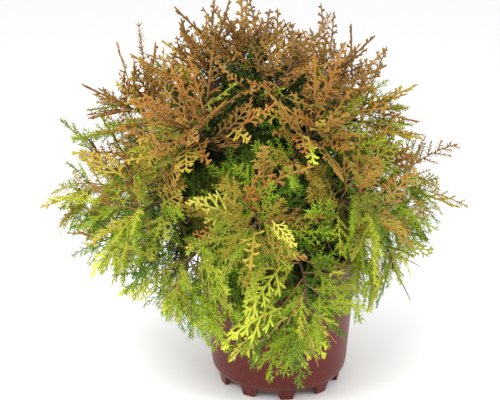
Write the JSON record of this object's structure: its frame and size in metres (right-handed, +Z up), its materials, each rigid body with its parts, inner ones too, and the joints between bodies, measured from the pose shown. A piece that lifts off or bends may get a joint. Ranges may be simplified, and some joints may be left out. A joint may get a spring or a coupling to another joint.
{
  "type": "potted eastern arborvitae",
  "caption": "Dwarf globe eastern arborvitae: short trunk, upright leaders and spreading boughs with sprays of needles, in a round nursery pot on castellated feet.",
  "frame": {"origin": "middle of the bottom of the whole plant's box, level with the underside of the pot's feet; the pot stands a little to the right of it, because the crown leans to the left", "axes": "+X to the right as the picture shows the plant, +Y away from the viewer, +Z up"},
  "size_m": [0.5988, 0.55, 0.556],
  "materials": {
    "pot_plastic": "satin moulded plastic, dark maroon",
    "potting_mix": "damp bark and peat crumbs",
    "bark": "thin stringy bark",
    "lime_foliage": "lime green needles",
    "green_foliage": "olive green sprays",
    "gold_foliage": "old gold sprays",
    "bronze_foliage": "bronze sprays in winter colour"
  },
  "bodies": {
    "root": {"pot": "pot_plastic", "potting_soil": "potting_mix", "trunk": "bark", "leader_left": "bark", "leader_right": "bark", "leader_back": "bark", "bough_skirt_1": "bark", "bough_skirt_2": "bark", "bough_skirt_3": "bark", "bough_skirt_4": "bark", "bough_skirt_5": "bark", "bough_skirt_6": "bark", "bough_skirt_7": "bark", "bough_skirt_8": "bark", "bough_side_1": "bark", "bough_side_2": "bark", "bough_side_3": "bark", "bough_side_4": "bark", "bough_side_5": "bark", "bough_side_6": "bark", "bough_side_7": "bark", "bough_side_8": "bark", "bough_upper_1": "bark", "bough_upper_2": "bark", "bough_upper_3": "bark", "bough_upper_4": "bark", "bough_upper_5": "bark", "bough_upper_6": "bark", "bough_top_1": "bark", "bough_top_2": "bark", "foliage_skirt_1": "lime_foliage", "foliage_skirt_2": "lime_foliage", "foliage_skirt_3": "lime_foliage", "foliage_skirt_4": "lime_foliage", "foliage_skirt_5": "lime_foliage", "foliage_skirt_6": "lime_foliage", "foliage_skirt_7": "lime_foliage", "foliage_skirt_8": "lime_foliage", "foliage_side_1": "green_foliage", "foliage_side_2": "green_foliage", "foliage_side_3": "green_foliage", "foliage_side_4": "green_foliage", "foliage_side_5": "green_foliage", "foliage_side_6": "green_foliage", "foliage_side_7": "green_foliage", "foliage_side_8": "green_foliage", "foliage_upper_1": "gold_foliage", "foliage_upper_2": "gold_foliage", "foliage_upper_3": "gold_foliage", "foliage_upper_4": "gold_foliage", "foliage_upper_5": "gold_foliage", "foliage_upper_6": "gold_foliage", "foliage_top_1": "bronze_foliage", "foliage_top_2": "bronze_foliage", "foliage_top_3": "bronze_foliage", "foliage_top_4": "bronze_foliage", "foliage_top_5": "bronze_foliage"}
  },
  "joints": []
}
